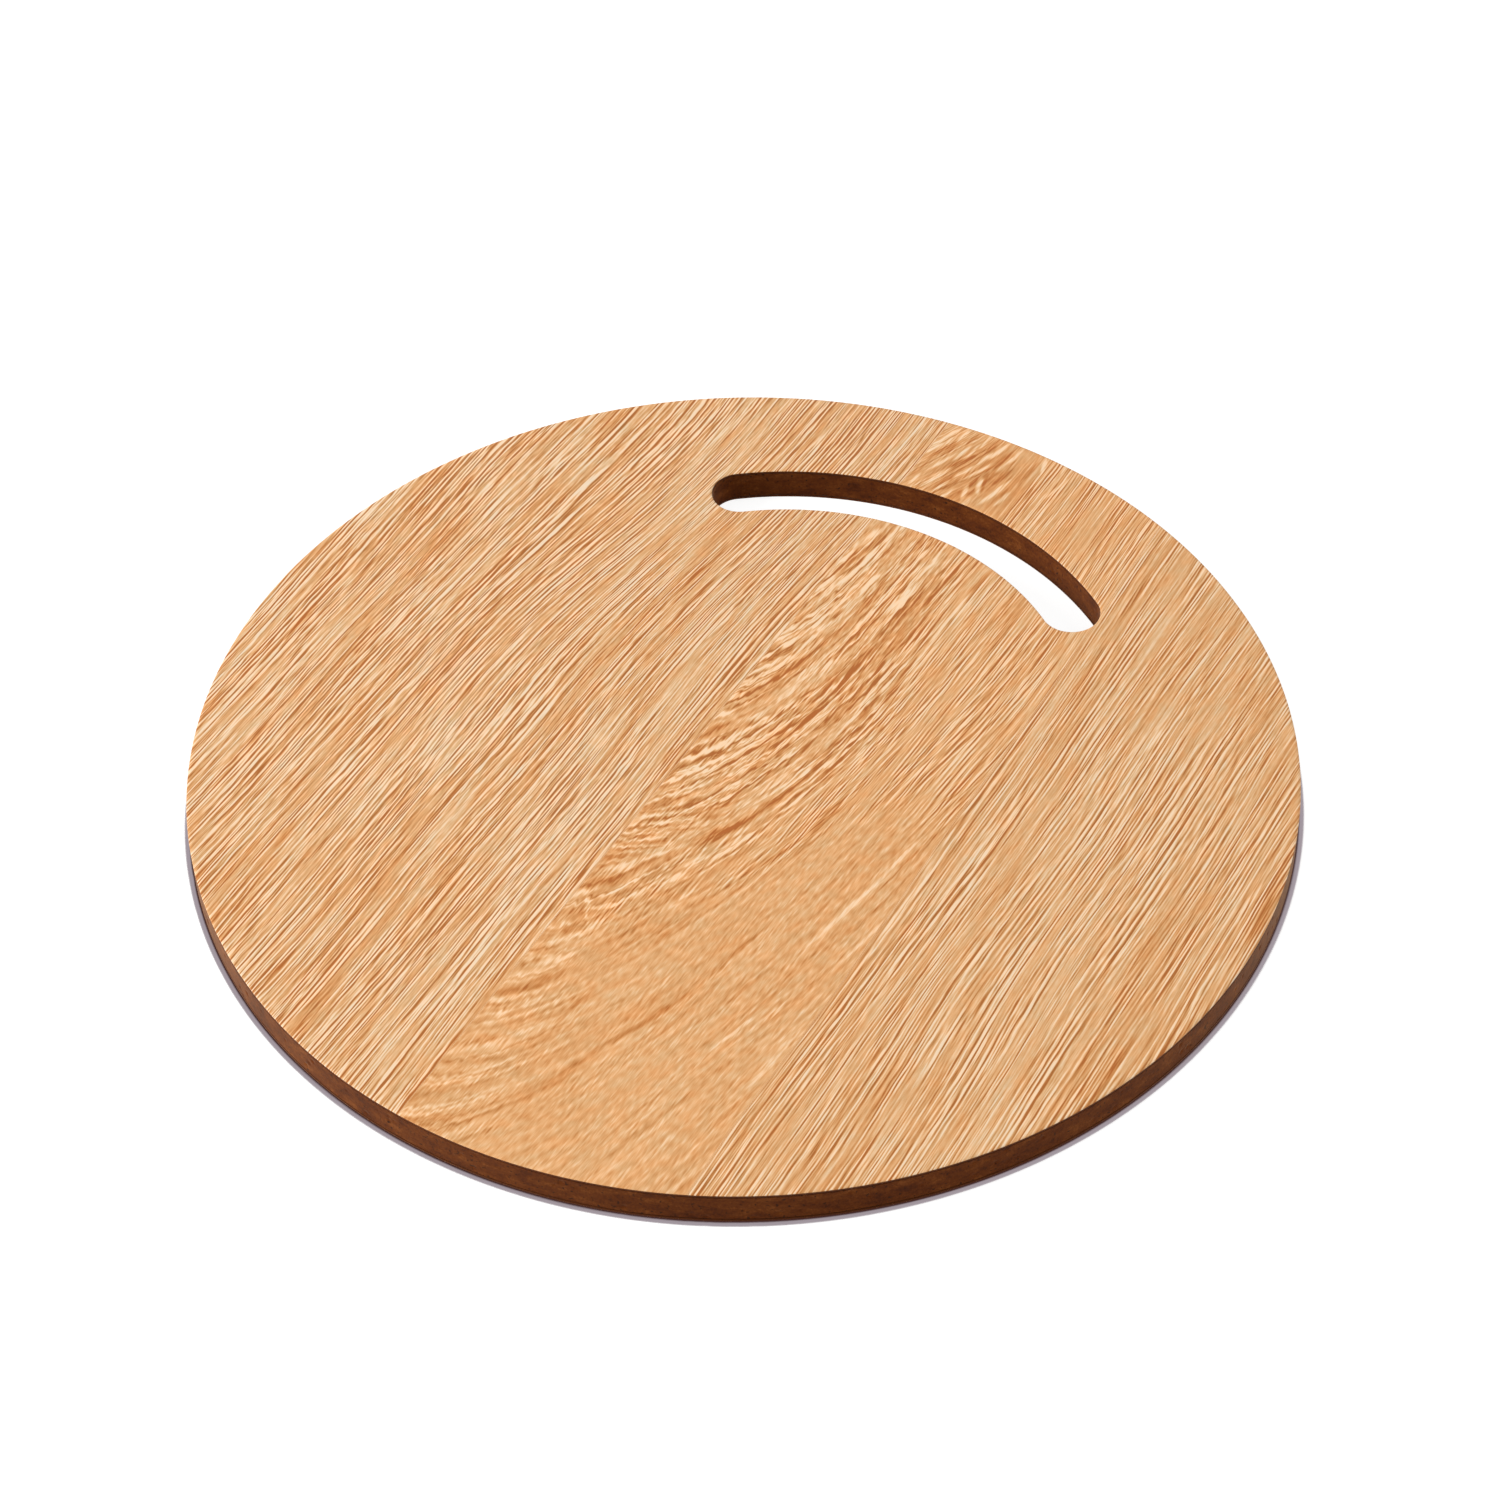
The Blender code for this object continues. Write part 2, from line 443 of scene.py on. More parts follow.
# Streaks that are drawn one by one, in millimetres on the face: lower end, upper end, half width, and how
# much darker (below 0) or paler they are.
PRINTED_STREAKS = (
    # growth rings of the middle stave, from the seam outwards
    (12.0, 5.0, 16.0, 92.0, 8.0, -0.4),
    (-13.8, 17.0, -9.3, 26.7, 1.8, -1.4),
    (-9.3, 26.7, -3.0, 44.8, 1.9, -1.5),
    (-3.0, 44.8, 0.6, 61.0, 1.6, -1.4),
    (0.6, 61.0, 1.2, 88.0, 1.5, -1.5),
    (5.4, 64.0, 6.0, 90.0, 1.3, -1.1),
    (11.6, 52.0, 12.6, 90.0, 1.6, -1.1),
    (-13.6, 34.0, -9.7, 44.0, 1.2, -1.2),
    (-13.0, 54.0, -11.6, 62.0, 1.1, -1.1),
    (-12.2, 76.0, -11.2, 86.0, 1.0, -1.1),
    (-8.0, 68.0, -7.2, 82.0, 1.0, -1.2),
    (-5.0, 56.0, -4.4, 66.0, 0.8, -1.0),
    (-13.5, 1.0, -10.0, 9.0, 1.7, -1.1),
    (-8.5, 0.0, -3.0, 24.0, 0.8, -1.0),
    (-3.0, -8.0, 5.0, 18.0, 0.8, -0.9),
    (-14.0, -30.5, -3.0, -18.0, 2.0, -1.4),
    (-3.0, -18.0, 4.5, -4.0, 1.6, -1.1),
    (4.5, -4.0, 8.5, 26.0, 1.3, -1.1),
    (-14.0, -32.5, 0.6, -19.0, 0.8, -1.4),
    (0.6, -19.0, 7.0, -9.0, 0.9, -1.2),
    (-14.0, -35.7, 3.3, -21.7, 0.9, -1.4),
    (3.3, -21.7, 9.0, -13.0, 0.9, -1.1),
    (-14.0, -38.2, 0.6, -29.0, 0.8, -1.3),
    (0.6, -29.0, 9.6, -18.0, 0.9, -1.1),
    (-14.0, -42.0, -4.0, -35.3, 0.9, -1.4),
    (-4.0, -35.3, 7.0, -26.2, 0.9, -1.1),
    (-14.0, -44.6, -1.2, -37.0, 0.8, -1.3),
    (-14.0, -47.4, -3.0, -40.7, 0.8, -1.2),
    (-14.0, -51.0, -6.0, -45.0, 0.9, -1.1),
    (-14.0, -54.5, -10.0, -51.0, 0.9, -1.1),
    # pale between them
    (-14.0, -27.0, -3.0, -14.5, 0.9, 1.1),
    (-3.0, -14.5, 4.0, -1.0, 0.8, 1.0),
    (-14.0, -34.2, -1.0, -23.0, 0.6, 1.2),
    (-1.0, -23.0, 6.0, -13.5, 0.6, 1.1),
    (-14.0, -37.0, 1.0, -26.5, 0.6, 1.4),
    (-14.0, -40.2, 2.0, -31.0, 0.7, 1.4),
    (-14.0, -43.3, -2.0, -36.0, 0.6, 1.2),
    (-14.0, -46.0, -1.0, -38.5, 0.6, 1.2),
    (-14.0, -49.3, -5.0, -42.5, 0.7, 1.2),
    (-14.0, -52.9, -8.0, -48.0, 0.7, 1.1),
    # wide dark rings, and the lines that run on from them up and down the stave
    (-14.0, -62.3, -4.0, -52.6, 2.7, -1.6),
    (-4.0, -52.6, 4.2, -38.0, 2.5, -1.5),
    (4.2, -38.0, 14.0, -18.0, 2.4, -1.5),
    (14.0, -18.0, 18.0, -2.0, 1.7, -1.4),
    (18.0, -2.0, 18.5, 24.0, 1.2, -1.1),
    (8.5, -31.0, 13.0, -20.0, 0.8, -1.1),
    (7.2, 12.0, 10.6, 54.0, 1.1, -1.4),
    (5.4, 16.0, 7.6, 42.0, 0.7, -1.1),
    (12.0, 14.0, 12.9, 52.0, 0.8, -1.1),
    (15.2, 22.0, 16.2, 66.0, 0.9, -1.3),
    (20.3, 22.0, 20.8, 48.0, 0.8, -1.4),
    (22.2, 58.0, 22.6, 78.0, 0.9, -1.3),
    (23.2, 30.0, 23.6, 60.0, 1.1, -1.6),
    (21.5, -10.0, 24.2, 20.0, 0.9, -1.2),
    (-14.0, -76.0, -6.0, -62.0, 4.0, -0.7),
    (-5.0, -88.0, 10.5, -58.0, 0.9, -1.0),
    (10.5, -58.0, 20.0, -38.0, 0.8, -0.9),
    (3.0, -84.0, 15.0, -58.0, 0.8, -0.9),
    (24.0, -34.0, 30.0, -18.0, 0.8, -1.5),
    (30.0, -18.0, 33.0, 0.0, 0.9, -1.5),
    (33.0, 0.0, 37.0, 26.0, 0.8, -1.1),
    (-14.0, -105.0, -2.0, -88.0, 1.9, -1.2),
    (-2.0, -88.0, 12.0, -55.0, 1.3, -0.7),
    (-14.0, -125.0, -6.0, -114.0, 1.8, -1.1),
    (-14.0, -141.0, -7.0, -132.0, 1.8, -1.0),
    (8.0, -138.0, 19.0, -106.0, 1.6, -1.0),
    (19.0, -106.0, 30.0, -80.0, 1.3, -0.9),
    (45.0, -92.0, 51.0, -58.0, 0.6, -1.1),
    (51.0, -58.0, 60.0, -22.0, 0.6, -1.1),
    (29.0, -100.0, 36.0, -68.0, 0.8, -0.9),
    # pointed flecks and dark rings above the hand slot
    (2.0, 116.0, 4.0, 150.0, 19.0, -1.2),
    (-12.5, 141.0, -10.0, 148.5, 1.0, 2.9),
    (-13.9, 135.5, -12.5, 141.5, 1.1, 2.5),
    (-13.8, 130.7, -6.9, 144.0, 0.9, -1.5),
    (-10.2, 127.5, -5.8, 137.5, 0.9, 2.7),
    (-8.1, 121.0, -4.3, 131.5, 1.3, 3.0),
    (-6.0, 129.5, 0.0, 139.8, 0.9, -1.6),
    (-0.8, 129.0, 2.2, 136.0, 0.9, 2.9),
    (1.8, 128.5, 5.9, 138.6, 0.9, 3.2),
    (2.4, 129.0, 6.6, 137.3, 0.7, -1.6),
    (4.6, 126.5, 5.6, 132.0, 0.8, -1.8),
    (8.0, 126.0, 6.6, 131.0, 1.2, 3.1),
    (5.4, 121.5, 4.4, 126.5, 1.2, 3.1),
    (9.0, 126.0, 7.2, 134.3, 0.8, -1.6),
    (11.0, 121.5, 13.4, 134.5, 0.9, 3.0),
    (14.4, 123.5, 15.3, 129.0, 0.8, 2.2),
    (10.2, 130.0, 12.0, 139.0, 1.0, -1.4),
    (9.0, 137.0, 9.8, 143.0, 0.8, 1.8),
    (13.2, 121.5, 14.6, 131.0, 0.8, -1.4),
    (-3.8, 120.0, -2.2, 125.5, 0.7, 2.2),
    (-0.6, 118.0, 0.8, 123.0, 0.8, 2.0),
    (-4.8, 121.0, -2.0, 128.0, 0.8, -1.6),
    (-13.8, 122.0, -11.6, 131.0, 1.0, -1.6),
    (2.8, 137.5, 3.8, 142.5, 0.9, 2.5),
    (4.6, 141.0, 6.2, 148.5, 1.0, 2.8),
    (18.8, 142.5, 17.8, 147.5, 0.7, 2.2),
    (24.8, 133.0, 26.2, 142.0, 0.7, 1.9),
    (-4.6, 135.5, -3.2, 142.5, 0.9, 2.5),
    (-2.2, 136.5, -1.0, 144.0, 0.9, 2.4),
    (-0.4, 144.0, 0.4, 149.5, 0.9, 2.0),
    (-7.8, 143.0, -6.8, 149.5, 0.9, 2.2),
    (9.8, 141.0, 10.8, 147.5, 0.9, 1.9),
    (-11.9, 120.5, -11.4, 124.5, 0.9, 2.2),
    (6.9, 118.5, 7.9, 123.5, 0.8, 1.9),
    (-4.4, 143.0, -3.4, 149.5, 0.9, -1.5),
    (2.4, 142.5, 3.2, 149.0, 0.8, -1.5),
    (-9.2, 135.5, -7.4, 141.0, 0.9, -1.5),
    (15.6, 136.0, 16.6, 145.0, 0.9, -1.2),
    (7.4, 138.0, 8.4, 146.0, 0.9, -1.4),
    # the same below it
    (-11.2, 90.5, -10.6, 97.5, 1.3, 2.4),
    (-9.4, 86.0, -8.8, 99.0, 1.0, -1.6),
    (-4.6, 86.0, -3.2, 99.0, 0.9, -1.5),
    (-2.8, 72.0, -1.2, 81.5, 1.5, 1.6),
    (2.6, 90.0, 4.0, 101.0, 0.7, -1.5),
    (5.8, 90.0, 6.6, 98.0, 0.8, 2.0),
    (9.5, 84.0, 11.0, 97.0, 1.2, 1.5),
    (10.0, 70.0, 10.8, 80.0, 0.9, 1.9),
    (16.6, 79.0, 17.6, 93.0, 0.9, -1.5),
    (24.8, 84.0, 25.8, 98.0, 1.0, -1.7),
    (25.6, 76.0, 26.6, 84.0, 1.0, 1.5),
    (12.6, 58.0, 13.8, 97.0, 1.7, -1.1),
    (9.6, 39.0, 10.8, 56.0, 1.4, -1.3),
    (18.2, 58.0, 19.2, 83.0, 0.7, -1.3),
    (19.0, 40.0, 20.8, 66.0, 0.8, 1.6),
    # pale flecks between the rings
    (-13.6, 9.5, -11.0, 13.5, 1.7, 2.3),
    (-13.0, -15.0, -8.0, -6.0, 1.6, 2.1),
    (-9.0, -4.0, -5.0, 6.0, 1.0, 1.4),
    (-7.4, 2.0, -5.6, 9.0, 0.9, 1.6),
    (-1.4, 2.0, 0.6, 10.0, 0.8, 1.3),
    (-6.0, 9.0, -4.4, 15.0, 0.8, 1.4),
    (-4.6, 13.0, -3.2, 18.0, 0.7, 1.2),
    (-10.0, 15.0, -7.8, 21.0, 0.9, 1.2),
    (0.2, 20.0, 1.8, 26.0, 0.9, 1.3),
    (-2.2, 23.0, -1.0, 30.0, 0.8, 1.4),
    (4.6, 28.0, 5.6, 34.0, 0.9, 1.5),
    (-1.0, 31.0, 0.4, 40.0, 0.8, 1.3),
    (-4.4, 29.0, -3.4, 35.0, 0.7, 1.2),
    (-13.2, 30.0, -9.8, 37.0, 1.6, 1.9),
    (-9.2, 34.0, -7.8, 40.0, 0.9, 1.5),
    (-13.8, 43.0, -12.6, 50.0, 1.0, 1.8),
    (-7.2, 44.0, -5.6, 51.0, 0.9, 1.3),
    (-9.8, 51.0, -8.6, 58.0, 0.8, 1.4),
    (-6.4, 52.0, -4.8, 58.0, 0.9, 1.5),
    (-13.8, 60.0, -12.6, 68.0, 0.9, 1.6),
    (-11.6, 66.0, -9.8, 78.0, 1.4, 2.1),
    (-6.8, 64.0, -6.2, 72.0, 0.6, 1.3),
    (-3.8, 61.0, -3.0, 69.0, 1.0, 1.5),
    (-2.6, 71.0, -1.6, 81.0, 1.2, 1.7),
    (-13.6, 80.0, -12.8, 92.0, 1.0, 1.7),
    (-8.8, 79.0, -7.6, 92.0, 1.1, 1.9),
    (2.0, 80.0, 2.8, 91.0, 1.0, 1.4),
    (3.8, 70.0, 4.4, 78.0, 0.9, 1.5),
    (8.2, 67.0, 9.4, 79.0, 2.0, 1.7),
    (3.0, 38.0, 3.8, 50.0, 0.7, 1.1),
    (25.2, 52.0, 25.6, 60.0, 0.6, 1.3),
    (18.2, 24.0, 18.8, 52.0, 0.8, 1.7),
    (19.3, 52.0, 19.7, 66.0, 0.6, 1.4),
    (13.6, 36.0, 14.2, 76.0, 0.6, 1.2),
    (9.0, 54.0, 9.4, 64.0, 0.8, 0.9),
    (23.0, 10.0, 23.8, 16.0, 0.7, 1.3),
    (14.5, -3.0, 15.5, 1.0, 1.1, 1.7),
    (20.5, -10.0, 22.0, -4.0, 0.9, 1.5),
    (18.5, -18.0, 20.5, -10.0, 0.6, 1.0),
    (14.5, -29.0, 16.0, -25.0, 1.2, 1.9),
    (2.0, -30.0, 3.0, -26.5, 0.9, 1.4),
    (7.5, -43.0, 9.5, -37.0, 1.2, 1.6),
    (7.0, -50.0, 9.0, -45.0, 0.9, 1.3),
    (3.2, -54.0, 4.2, -48.0, 0.7, 1.3),
    (-9.5, -53.5, -3.0, -46.0, 1.5, 1.3),
    (-3.0, -46.0, 4.5, -35.0, 1.1, 1.1),
    (-13.0, -39.5, -8.0, -35.0, 0.7, 1.5),
    (-10.0, -34.0, 0.0, -26.0, 0.6, 1.0),
    (-12.0, -24.0, -8.0, -17.0, 0.8, 1.1),
    (-6.5, -67.0, -0.5, -62.0, 1.1, 2.0),
    (-0.5, -61.0, 2.0, -57.0, 0.9, 1.5),
    (-5.0, -60.0, -3.0, -57.0, 0.8, 1.5),
    (-3.0, -56.0, -1.5, -53.5, 0.8, 1.2),
    (-9.0, -88.0, -3.0, -80.0, 1.2, 1.1),
    (-13.5, -97.0, -5.0, -88.0, 1.2, 1.1),
    (-6.2, -71.5, -10.0, -63.4, 0.6, 1.6),
    (-4.4, -74.0, -3.0, -70.0, 1.1, 1.7),
    (-11.4, -78.0, -10.8, -73.0, 0.7, 1.5),
    (-7.4, -81.0, -5.4, -77.0, 0.8, 1.6),
    (-5.4, -87.0, -3.4, -83.0, 1.4, 1.8),
    (-8.8, -90.0, -7.8, -86.5, 0.9, 1.5),
    (-13.6, -90.0, -13.0, -86.0, 0.8, 1.5),
    (-6.0, -105.0, -4.0, -100.0, 1.2, 1.3),
    (-11.0, -113.0, -9.0, -107.0, 1.0, 1.4),
    (-13.0, -86.5, -12.0, -81.0, 1.0, -1.2),
    (-9.0, -78.0, -7.5, -72.0, 1.2, -1.1),
    (10.6, -60.0, 14.5, -48.0, 0.9, 1.1),
    (4.8, -105.0, 7.7, -92.0, 0.9, -1.1),
    (13.5, -71.0, 17.9, -55.0, 0.8, -1.0),
    (22.0, -101.0, 35.0, -62.0, 0.9, -0.9),
    (31.7, -71.0, 36.8, -52.0, 0.9, -1.1),
    (36.0, -92.0, 46.0, -56.0, 0.9, -0.9),
    # straight stave on the left
    (-97.5, -25.0, -96.8, 118.0, 0.35, -1.6),
    (-95.9, -10.0, -95.3, 105.0, 0.3, -1.3),
    (-137.5, -60.0, -135.0, 12.0, 1.4, -1.5),
    (-135.0, 12.0, -133.5, 60.0, 1.3, -1.2),
    (-145.0, -17.0, -144.0, 12.0, 0.8, 1.5),
    (-133.5, 62.0, -132.5, 70.0, 0.8, 1.4),
    (-107.4, 55.0, -107.0, 100.0, 0.5, 1.3),
    (-85.5, 48.0, -84.0, 78.0, 1.9, 0.9),
    (-85.5, -60.0, -84.5, 12.0, 1.7, 0.8),
    (-81.5, -22.0, -80.0, 12.0, 0.6, 1.5),
    (-80.0, 12.0, -74.8, 48.0, 0.6, 1.5),
    (-79.0, 2.0, -78.0, 16.0, 0.9, -1.4),
    (-57.8, -32.0, -57.6, 4.0, 0.5, 1.3),
    (-64.5, -28.0, -63.5, -16.0, 0.6, 1.4),
    (-18.0, -85.0, -17.0, -46.0, 1.7, 1.0),
    # straight stave on the right
    (62.8, -62.0, 63.4, 2.0, 0.6, 1.8),
    (58.0, -106.0, 60.0, -72.0, 1.2, 1.0),
    (67.0, 42.0, 68.0, 64.0, 0.5, 1.8),
    (73.5, -45.0, 75.2, 30.0, 1.2, -1.2),
    (72.5, -12.0, 73.2, 20.0, 0.5, 1.6),
    (70.8, -58.0, 71.4, -30.0, 0.6, 1.6),
    (70.2, 3.0, 70.6, 11.0, 0.6, 1.6),
    (67.0, -96.0, 67.6, -76.0, 0.5, 1.6),
    (64.8, -34.0, 65.4, 4.0, 0.35, -1.6),
    (106.4, -18.0, 107.0, 64.0, 0.5, -1.3),
    (91.5, 8.0, 92.5, 60.0, 1.4, 0.7),
    (95.4, 52.0, 95.8, 63.0, 0.8, 1.3),
    (93.2, -82.0, 94.6, -55.0, 0.5, 1.3),
    (145.5, -14.0, 143.5, 22.0, 0.8, 1.5),
    (148.5, -2.0, 145.0, 38.0, 1.9, -1.6),
    (134.4, -66.0, 134.8, -38.0, 1.2, -0.9),
    (137.6, -38.0, 138.0, -20.0, 0.4, 1.4),
)


# The layout of the print, in millimetres from the middle of the face.
seam = -14.0
rings_end = 61.5
# the left stave's grain leans to the right by this much, between these heights and these distances
left_lean = 11.0
left_lean_up = (-10.0, 130.0)
left_lean_in = (-135.0, -75.0)
left_lean_out = (-60.0, seam)
left_lean_kept = 0.4
# the rings are cut from a trunk whose pith lies beside the board and slants below it: how far beside, the
# height where the rings close, how fast the pith sinks, and how round they close
pith_aside = 29.0
rings_close = 105.0
pith_slant = 0.155
close_round = 400.0
# above the hand slot the rings beside the seam lean to the right
top_slope = 0.45
top_level = 134.0
top_lean_up = (106.0, 119.0)
top_lean_in = (17.0, -4.0)


def grain_at(x, y):
    """The grain coordinate of a place on the print, as oak_print's nodes work it out."""
    if x > rings_end:
        return x

    def step(value, first, last):
        part = min(1.0, max(0.0, (value - first) / (last - first)))
        return part * part * (3 - 2 * part)

    if x > seam - 0.2:
        below = rings_close - y
        sunk = pith_slant * (below + math.sqrt(below * below + close_round))
        ring = math.hypot(x + pith_aside, sunk) - pith_aside
        return ring - top_slope * (y - top_level) * step(y, *top_lean_up) * step(x, *top_lean_in)
    kept = 1.0 - (1.0 - left_lean_kept) * step(x, *left_lean_out)
    return x - left_lean * step(y, *left_lean_up) * step(x, *left_lean_in) * kept


def oak_print(name, shift, streaks):
    """The printed decor paper under its clear overlay, a satin melamine face. It gives the eye pale honey
    oak: a straight-grained stave, a seam, a stave cut through the growth rings, and fine pores all over."""
    made = empty_material(name)
    tree = made.node_tree
    place = node(tree, "TexCoord", out="Object")
    print_mm = node(
        tree, "VectorMath",
        {0: place, 1: (1000.0, 1000.0, 0.0), 2: (shift[0], shift[1], 0.0)},
        operation="MULTIPLY_ADD",
    )
    x = node(tree, "SeparateXYZ", {0: print_mm})
    y = x.node.outputs["Y"]

    # the grain wanders a little from side to side
    across = x
    for width, length, reach in ((30.0, 90.0, 5.0), (7.0, 30.0, 0.6)):
        slow = node(tree, "VectorMath", {0: print_mm, 1: (1 / width, 1 / length, 1.0)}, operation="MULTIPLY")
        wander = node(tree, "TexNoise", {"Vector": slow, "Scale": 1.0, "Detail": 0.0})
        wander = node(tree, "Math", {0: wander, 1: 0.5}, operation="SUBTRACT")
        across = node(tree, "Math", {0: wander, 1: reach, 2: across}, operation="MULTIPLY_ADD")

    # left stave: straight grain that leans to the right towards the top
    lean_up = node(
        tree, "MapRange",
        {"Value": y, "From Min": left_lean_up[0], "From Max": left_lean_up[1], "To Max": left_lean},
        interpolation_type="SMOOTHSTEP",
    )
    lean_in = node(
        tree, "MapRange", {"Value": x, "From Min": left_lean_in[0], "From Max": left_lean_in[1]},
        interpolation_type="SMOOTHSTEP",
    )
    lean_out = node(
        tree, "MapRange",
        {
            "Value": x, "From Min": left_lean_out[0], "From Max": left_lean_out[1],
            "To Min": 1.0, "To Max": left_lean_kept,
        },
        interpolation_type="SMOOTHSTEP",
    )
    lean = node(tree, "Math", {0: lean_up, 1: lean_in}, operation="MULTIPLY")
    lean = node(tree, "Math", {0: lean, 1: lean_out}, operation="MULTIPLY")
    left_across = node(tree, "Math", {0: across, 1: lean}, operation="SUBTRACT")

    # ringed stave: the growth rings of a tapering trunk, cut lengthways, make long hyperbolas
    below = node(tree, "Math", {0: rings_close, 1: y}, operation="SUBTRACT")
    squared = node(tree, "Math", {0: below, 1: below, 2: close_round}, operation="MULTIPLY_ADD")
    rounded = node(tree, "Math", {0: squared}, operation="SQRT")
    depth = node(tree, "Math", {0: below, 1: rounded}, operation="ADD")
    depth = node(tree, "Math", {0: depth, 1: pith_slant}, operation="MULTIPLY")
    from_pith = node(tree, "Math", {0: across, 1: pith_aside}, operation="ADD")
    cone = node(tree, "CombineXYZ", {0: from_pith, 1: depth, 2: 0.0})
    ring = node(tree, "VectorMath", {0: cone}, out="Value", operation="LENGTH")
    ring = node(tree, "Math", {0: ring, 1: pith_aside}, operation="SUBTRACT")

    # above the hand slot the rings lean to the right beside the seam
    top_up = node(
        tree, "MapRange", {"Value": y, "From Min": top_lean_up[0], "From Max": top_lean_up[1]},
        interpolation_type="SMOOTHSTEP",
    )
    top_in = node(
        tree, "MapRange", {"Value": x, "From Min": top_lean_in[0], "From Max": top_lean_in[1]},
        interpolation_type="SMOOTHSTEP",
    )
    top_lean = node(tree, "Math", {0: y, 1: -top_slope, 2: top_slope * top_level}, operation="MULTIPLY_ADD")
    top_lean = node(tree, "Math", {0: top_lean, 1: top_up}, operation="MULTIPLY")
    leaning_ring = node(tree, "Math", {0: top_lean, 1: top_in, 2: ring}, operation="MULTIPLY_ADD")

    # the seam between the staves, and the edge where the rings run out against straight grain
    past_seam = node(tree, "MapRange", {"Value": x, "From Min": seam - 0.15, "From Max": seam + 0.15})
    past_rings = node(
        tree, "MapRange", {"Value": across, "From Min": rings_end - 0.3, "From Max": rings_end + 0.3}
    )
    grain = node(tree, "Mix", {0: past_seam, 2: left_across, 3: leaning_ring}, data_type="FLOAT")
    grain = node(tree, "Mix", {0: past_rings, 2: grain, 3: across}, data_type="FLOAT")
    stave = node(tree, "Math", {0: past_seam, 1: past_rings}, operation="ADD")
    stave = node(tree, "Math", {0: stave, 1: 13.0}, operation="MULTIPLY")

    # how figured, how calm and how straight the grain is at each place
    in_rings = node(tree, "Math", {0: past_seam, 1: past_rings}, operation="SUBTRACT")
    figured_edge = node(
        tree, "MapRange", {"Value": y, "From Min": 20.0, "From Max": 100.0, "To Min": 32.0, "To Max": 14.0}
    )
    beyond = node(tree, "Math", {0: ring, 1: figured_edge}, operation="SUBTRACT")
    figured = node(
        tree, "MapRange", {"Value": beyond, "From Min": -6.0, "From Max": 7.0, "To Min": 1.0, "To Max": 0.0},
        interpolation_type="SMOOTHSTEP",
    )
    beside_seam = node(
        tree, "MapRange", {"Value": x, "From Min": 12.0, "From Max": -8.0}, interpolation_type="SMOOTHSTEP"
    )
    seam_up = node(
        tree, "MapRange", {"Value": y, "From Min": -95.0, "From Max": -55.0, "To Min": 0.35, "To Max": 0.9},
        interpolation_type="SMOOTHSTEP",
    )
    beside_seam = node(tree, "Math", {0: beside_seam, 1: seam_up}, operation="MULTIPLY")
    figured = node(tree, "Math", {0: figured, 1: beside_seam}, operation="MAXIMUM")
    figured = node(tree, "Math", {0: figured, 1: in_rings}, operation="MULTIPLY")
    calm_up = node(
        tree, "MapRange", {"Value": y, "From Min": 22.0, "From Max": -16.0}, interpolation_type="SMOOTHSTEP"
    )
    calm_edge = node(
        tree, "MapRange", {"Value": y, "From Min": -60.0, "From Max": -25.0, "To Min": 33.0, "To Max": 43.0}
    )
    past_edge = node(tree, "Math", {0: ring, 1: calm_edge}, operation="SUBTRACT")
    calm = node(
        tree, "MapRange", {"Value": past_edge, "From Min": -4.0, "From Max": 4.0},
        interpolation_type="SMOOTHSTEP",
    )
    calm = node(tree, "Math", {0: calm, 1: calm_up}, operation="MULTIPLY")
    calm = node(tree, "Math", {0: calm, 1: in_rings}, operation="MULTIPLY")
    unfigured = node(tree, "Math", {0: 1.0, 1: figured}, operation="SUBTRACT")
    calm = node(tree, "Math", {0: calm, 1: unfigured}, operation="MINIMUM")
    straight = node(tree, "Math", {0: 1.0, 1: figured}, operation="SUBTRACT")
    straight = node(tree, "Math", {0: straight, 1: calm}, operation="SUBTRACT")
    liveliness = node(tree, "Math", {0: past_seam, 1: -0.36, 2: 1.24}, operation="MULTIPLY_ADD")
    straight = node(tree, "Math", {0: straight, 1: liveliness}, operation="MULTIPLY")
    kinds = node(tree, "CombineXYZ", {0: straight, 1: figured, 2: calm})

    # above the hand slot the grain between the pointed flecks is quieter
    quiet_in = node(
        tree, "MapRange", {"Value": x, "From Min": 24.0, "From Max": 12.0}, interpolation_type="SMOOTHSTEP"
    )
    quiet = node(tree, "Math", {0: quiet_in, 1: top_up}, operation="MULTIPLY")
    quiet = node(tree, "Math", {0: quiet, 1: past_seam}, operation="MULTIPLY")
    quiet = node(tree, "Math", {0: quiet, 1: -0.45, 2: 1.0}, operation="MULTIPLY_ADD")
    kinds = node(tree, "VectorMath", {0: kinds, "Scale": quiet}, operation="SCALE")

    # pores and fibres stay nearly upright, even where the rings run aslant
    upright = node(tree, "Math", {0: past_seam, 1: 0.8}, operation="MULTIPLY")
    fibre_across = node(tree, "Mix", {0: upright, 2: grain, 3: across}, data_type="FLOAT")
    fibre_field = node(tree, "CombineXYZ", {0: fibre_across, 1: y, 2: stave})

    # each fibre shifts the rings a little along itself, which combs their edges
    comb_place = node(
        tree, "VectorMath", {0: fibre_field, 1: (1 / 0.9, 1 / 6.0, 1.0), 2: (3.3, 5.1, 1.7)},
        operation="MULTIPLY_ADD",
    )
    comb = node(tree, "TexNoise", {"Vector": comb_place, "Scale": 1.0, "Detail": 0.0})
    comb_reach = node(
        tree, "VectorMath", {0: kinds, 1: (0.5, 1.1, 0.7)}, out="Value", operation="DOT_PRODUCT"
    )
    comb = node(tree, "Math", {0: comb, 1: 0.5}, operation="SUBTRACT")
    combed = node(tree, "Math", {0: comb, 1: comb_reach, 2: grain}, operation="MULTIPLY_ADD")
    ring_field = node(tree, "CombineXYZ", {0: combed, 1: y, 2: stave})

